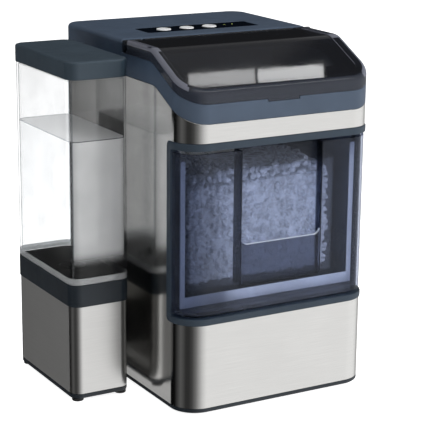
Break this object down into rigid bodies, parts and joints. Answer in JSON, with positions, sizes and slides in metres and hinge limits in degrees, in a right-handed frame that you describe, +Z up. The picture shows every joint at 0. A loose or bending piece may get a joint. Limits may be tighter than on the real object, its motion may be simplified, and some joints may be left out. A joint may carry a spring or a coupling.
{
  "type": "countertop ice maker",
  "caption": "Countertop nugget ice maker: steel body, sloped smoked lid, pull-out smoked ice drawer, push buttons and a lift-off clear side water tank.",
  "frame": {"origin": "on the surface it stands on, below the middle of the whole box, tank included", "axes": "+Z up, -Y towards the user at the front, +X to the user's right; the side tank is at -X"},
  "size_m": [0.3504, 0.3224, 0.421],
  "materials": {
    "navy_plastic": "fine satin moulded plastic, navy grey",
    "dark_navy_plastic": "fine satin moulded plastic, dark navy",
    "brushed_steel": "brushed stainless sheet",
    "smoked_plastic": "polished smoked transparent plastic",
    "clear_plastic": "polished clear plastic",
    "black_gloss": "polished black",
    "silver_metal": "bright satin metal",
    "rubber": "matt black rubber",
    "white_plastic": "natural white moulded plastic",
    "grey_plastic": "mid grey moulded plastic",
    "black_plastic": "matt black moulded plastic",
    "black_paint": "black enamel on pressed steel",
    "aluminium": "plain aluminium",
    "copper": "drawn copper",
    "circuit_board": "green lacquered board"
  },
  "bodies": {
    "machine": {"base_pan": "dark_navy_plastic", "tank_base_pan": "dark_navy_plastic", "tank_collar": "dark_navy_plastic", "top_cap": "navy_plastic", "drawer_frame": "navy_plastic", "foot_1": "rubber", "foot_2": "rubber", "foot_3": "rubber", "foot_4": "rubber", "tank_foot_1": "rubber", "tank_foot_2": "rubber", "tank_foot_3": "rubber", "tank_foot_4": "rubber", "cord_gland": "rubber", "steel_wrap": "brushed_steel", "tank_base_shell": "brushed_steel", "rear_panel": "grey_plastic", "drawer_bay": "grey_plastic", "gear_case": "grey_plastic", "rear_screw_1": "silver_metal", "rear_screw_2": "silver_metal", "rear_screw_3": "silver_metal", "rear_screw_4": "silver_metal", "lid_hinge_pin_left": "silver_metal", "lid_hinge_pin_right": "silver_metal", "evaporator_barrel": "silver_metal", "auger_motor": "silver_metal", "drain_spout": "white_plastic", "ice_chute": "white_plastic", "ice_head": "white_plastic", "reservoir": "white_plastic", "indicator_lens_1": "clear_plastic", "indicator_lens_2": "clear_plastic", "control_strip": "black_gloss", "control_board": "circuit_board", "power_board": "circuit_board", "compressor": "black_paint", "condenser": "aluminium", "fan_shroud": "black_plastic", "water_pump": "black_plastic", "transfer_pump": "black_plastic", "docking_bracket": "black_plastic", "refrigerant_line": "copper"},
    "lid": {"lid": "smoked_plastic"},
    "drawer": {"ice_drawer": "smoked_plastic", "ice_bin": "clear_plastic"},
    "power_button": {"power_button": "silver_metal"},
    "clean_button": {"clean_button": "silver_metal"},
    "light_button": {"light_button": "silver_metal"},
    "tank": {"side_tank": "clear_plastic", "valve_cap": "white_plastic", "valve_spring": "silver_metal"},
    "tank_lid": {"tank_lid": "navy_plastic"},
    "valve": {"valve_plunger": "rubber"},
    "fan": {"fan_rotor": "black_plastic"},
    "auger": {"auger": "silver_metal", "drive_gear": "white_plastic"},
    "pinion": {"motor_pinion": "silver_metal"},
    "float": {"reservoir_float": "white_plastic"},
    "drain_cap": {"drain_cap": "rubber"}
  },
  "joints": [
    {"name": "lid_hinge", "type": "hinge", "parent": "machine", "child": "lid", "pos_m": [0.04525, -0.01145, 0.4125], "axis": [-1, 0, 0], "range_deg": [0, 95]},
    {"name": "drawer_slide", "type": "slide", "parent": "machine", "child": "drawer", "axis": [0, -1, 0], "range_m": [0, 0.185]},
    {"name": "power_button_press", "type": "slide", "parent": "machine", "child": "power_button", "axis": [0, 0, -1], "range_m": [0, 0.0012], "stiffness_N_per_m": 600, "springref_m": -0.001},
    {"name": "clean_button_press", "type": "slide", "parent": "machine", "child": "clean_button", "axis": [0, 0, -1], "range_m": [0, 0.0012], "stiffness_N_per_m": 600, "springref_m": -0.001},
    {"name": "light_button_press", "type": "slide", "parent": "machine", "child": "light_button", "axis": [0, 0, -1], "range_m": [0, 0.0012], "stiffness_N_per_m": 600, "springref_m": -0.001},
    {"name": "tank_lift", "type": "slide", "parent": "machine", "child": "tank", "axis": [0, 0, 1], "range_m": [0, 0.15]},
    {"name": "tank_lid_lift", "type": "slide", "parent": "tank", "child": "tank_lid", "axis": [0, 0, 1], "range_m": [0, 0.08]},
    {"name": "valve_travel", "type": "slide", "parent": "tank", "child": "valve", "axis": [0, 0, 1], "range_m": [0, 0.003], "stiffness_N_per_m": 300, "springref_m": -0.001, "deforming": ["valve_spring"]},
    {"name": "fan_spin", "type": "hinge", "parent": "machine", "child": "fan", "pos_m": [0.09075, 0.12125, 0.104], "axis": [0, 1, 0], "continuous": true},
    {"name": "auger_spin", "type": "hinge", "parent": "machine", "child": "auger", "pos_m": [0.04525, 0.10825, 0.187], "axis": [0, 0, 1], "continuous": true},
    {"name": "pinion_spin", "type": "hinge", "parent": "machine", "child": "pinion", "pos_m": [0.01525, 0.10825, 0.187], "axis": [0, 0, 1], "continuous": true},
    {"name": "float_travel", "type": "slide", "parent": "machine", "child": "float", "axis": [0, 0, 1], "range_m": [-0.035, 0.02]},
    {"name": "drain_cap_pull", "type": "slide", "parent": "machine", "child": "drain_cap", "axis": [0, 1, 0], "range_m": [0, 0.03]}
  ],
  "couplings": [
    {"joint": "pinion_spin", "follows": "auger_spin", "ratio": -3}
  ]
}
